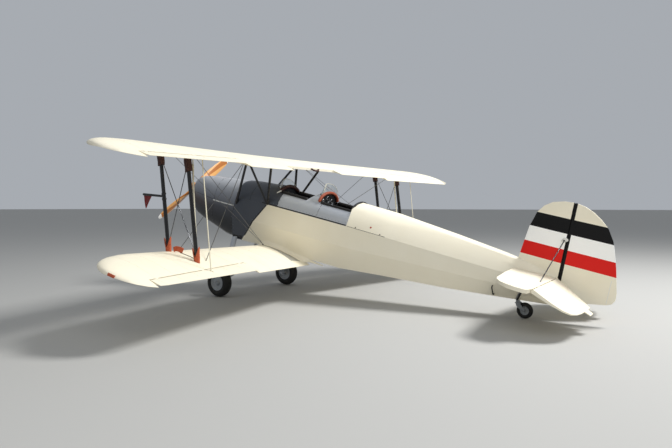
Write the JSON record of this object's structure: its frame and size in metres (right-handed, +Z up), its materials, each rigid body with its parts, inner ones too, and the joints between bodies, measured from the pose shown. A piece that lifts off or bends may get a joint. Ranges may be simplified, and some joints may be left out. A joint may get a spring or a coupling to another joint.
{
  "type": "two-seat open-cockpit biplane",
  "caption": "Parked two-seat tandem open-cockpit biplane with swept fabric wings, a wooden propeller, fixed main wheels and a swivelling tailwheel.",
  "frame": {"origin": "on the ground, at the middle of the bounding box", "axes": "+X forwards, out of the nose; +Y to the pilot's left, along the wings; +Z up"},
  "size_m": [6.6398, 7.398, 2.1871],
  "materials": {
    "cream_fabric": "doped fabric, semi-gloss cream",
    "grey_metal": "satin silver-grey paint on sheet aluminium",
    "engine_iron": "bare casting",
    "pale_steel": "pale grey paint on steel",
    "black_paint": "gloss black",
    "brown_leather": "worn red-brown",
    "dark_paint": "matt dark grey",
    "clear_screen": "clear sheet",
    "black_tyre": "matt rubber",
    "hub_paint": "satin light grey",
    "varnished_wood": "laminated, varnished",
    "red_cloth": "dark red cloth"
  },
  "bodies": {
    "airframe": {"fuselage": "cream_fabric", "forward_panels": "grey_metal", "decking": "grey_metal", "turtledeck": "cream_fabric", "engine_cowl": "grey_metal", "engine_block": "engine_iron", "centre_section": "cream_fabric", "upper_wing_left": "cream_fabric", "upper_wing_right": "cream_fabric", "lower_wing_left": "cream_fabric", "lower_wing_right": "cream_fabric", "cabane_left": "black_paint", "cabane_right": "black_paint", "front_strut_left": "black_paint", "front_strut_right": "black_paint", "rear_strut_left": "black_paint", "rear_strut_right": "black_paint", "flying_wires_left": "pale_steel", "flying_wires_right": "pale_steel", "landing_wires_left": "pale_steel", "landing_wires_right": "pale_steel", "front_seat": "brown_leather", "rear_seat": "brown_leather", "front_panel": "dark_paint", "rear_panel": "dark_paint", "front_stick": "black_paint", "rear_stick": "black_paint", "front_windscreen": "clear_screen", "rear_windscreen": "clear_screen", "fin": "cream_fabric", "stabilizer": "cream_fabric", "tail_strut_left": "black_paint", "tail_strut_right": "black_paint", "main_leg_left": "grey_metal", "main_leg_right": "grey_metal", "tailwheel_bracket": "pale_steel", "pitot_tube": "black_paint", "pitot_pennant": "red_cloth"},
    "propeller": {"propeller": "varnished_wood", "propeller_hub": "pale_steel"},
    "main_wheel_left": {"tyre_left": "black_tyre", "wheel_hub_left": "hub_paint"},
    "main_wheel_right": {"tyre_right": "black_tyre", "wheel_hub_right": "hub_paint"},
    "tail_fork": {"tailwheel_fork": "pale_steel"},
    "tail_wheel": {"tailwheel_tyre": "black_tyre", "tailwheel_hub": "hub_paint"},
    "rudder": {"rudder": "cream_fabric"},
    "elevator": {"elevator_left": "cream_fabric", "elevator_right": "cream_fabric"},
    "upper_aileron_left": {"upper_aileron_left": "cream_fabric"},
    "upper_aileron_right": {"upper_aileron_right": "cream_fabric"},
    "lower_aileron_left": {"lower_aileron_left": "cream_fabric"},
    "lower_aileron_right": {"lower_aileron_right": "cream_fabric"},
    "aileron_link_left": {"aileron_link_left": "pale_steel"},
    "aileron_link_right": {"aileron_link_right": "pale_steel"}
  },
  "joints": [
    {"name": "propeller_spin", "type": "hinge", "parent": "airframe", "child": "propeller", "pos_m": [3.18844, 0, 1.65126], "axis": [0.9747, 0, 0.2234], "continuous": true},
    {"name": "main_wheel_left_spin", "type": "hinge", "parent": "airframe", "child": "main_wheel_left", "pos_m": [1.84643, 0.788, 0.21], "axis": [0, 1, 0], "continuous": true},
    {"name": "main_wheel_right_spin", "type": "hinge", "parent": "airframe", "child": "main_wheel_right", "pos_m": [1.84643, -0.788, 0.21], "axis": [0, 1, 0], "continuous": true},
    {"name": "tail_fork_swivel", "type": "hinge", "parent": "airframe", "child": "tail_fork", "pos_m": [-2.26457, 0, 0.2], "axis": [0, 0, 1], "range_deg": [-40, 40]},
    {"name": "tail_wheel_spin", "type": "hinge", "parent": "tail_fork", "child": "tail_wheel", "pos_m": [-2.34457, 0, 0.095], "axis": [0, 1, 0], "continuous": true},
    {"name": "rudder_turn", "type": "hinge", "parent": "airframe", "child": "rudder", "pos_m": [-2.6793, 0, 0.22935], "axis": [-0.1926, 0, 0.9813], "range_deg": [-25, 25]},
    {"name": "elevator_turn", "type": "hinge", "parent": "airframe", "child": "elevator", "pos_m": [-2.71482, 0, 0.48282], "axis": [0, 1, 0], "range_deg": [-5, 48]},
    {"name": "lower_aileron_left_turn", "type": "hinge", "parent": "airframe", "child": "lower_aileron_left", "pos_m": [0.52484, 1.715, 0.6171], "axis": [-0.2567, 0.9664, 0.0109], "range_deg": [-28, 12]},
    {"name": "upper_aileron_left_turn", "type": "hinge", "parent": "airframe", "child": "upper_aileron_left", "pos_m": [0.64028, 1.715, 1.87249], "axis": [-0.2463, 0.9685, -0.0365], "range_deg": [-28, 12]},
    {"name": "lower_aileron_right_turn", "type": "hinge", "parent": "airframe", "child": "lower_aileron_right", "pos_m": [0.52484, -1.715, 0.6171], "axis": [0.2567, 0.9664, -0.0109], "range_deg": [-12, 28]},
    {"name": "upper_aileron_right_turn", "type": "hinge", "parent": "airframe", "child": "upper_aileron_right", "pos_m": [0.64028, -1.715, 1.87249], "axis": [0.2463, 0.9685, 0.0365], "range_deg": [-12, 28]},
    {"name": "aileron_link_left_turn", "type": "hinge", "parent": "lower_aileron_left", "child": "aileron_link_left", "pos_m": [0.25811, 2.50601, 0.62117], "axis": [-0.2567, 0.9664, 0.0109], "range_deg": [-12, 28]},
    {"name": "aileron_link_right_turn", "type": "hinge", "parent": "lower_aileron_right", "child": "aileron_link_right", "pos_m": [0.26145, -2.50707, 0.60627], "axis": [0.2567, 0.9664, -0.0109], "range_deg": [-28, 12]}
  ],
  "couplings": [
    {"joint": "upper_aileron_left_turn", "follows": "lower_aileron_left_turn", "ratio": 1},
    {"joint": "lower_aileron_right_turn", "follows": "lower_aileron_left_turn", "ratio": -1},
    {"joint": "upper_aileron_right_turn", "follows": "lower_aileron_left_turn", "ratio": -1},
    {"joint": "aileron_link_left_turn", "follows": "lower_aileron_left_turn", "ratio": -1},
    {"joint": "aileron_link_right_turn", "follows": "lower_aileron_left_turn", "ratio": 1}
  ]
}
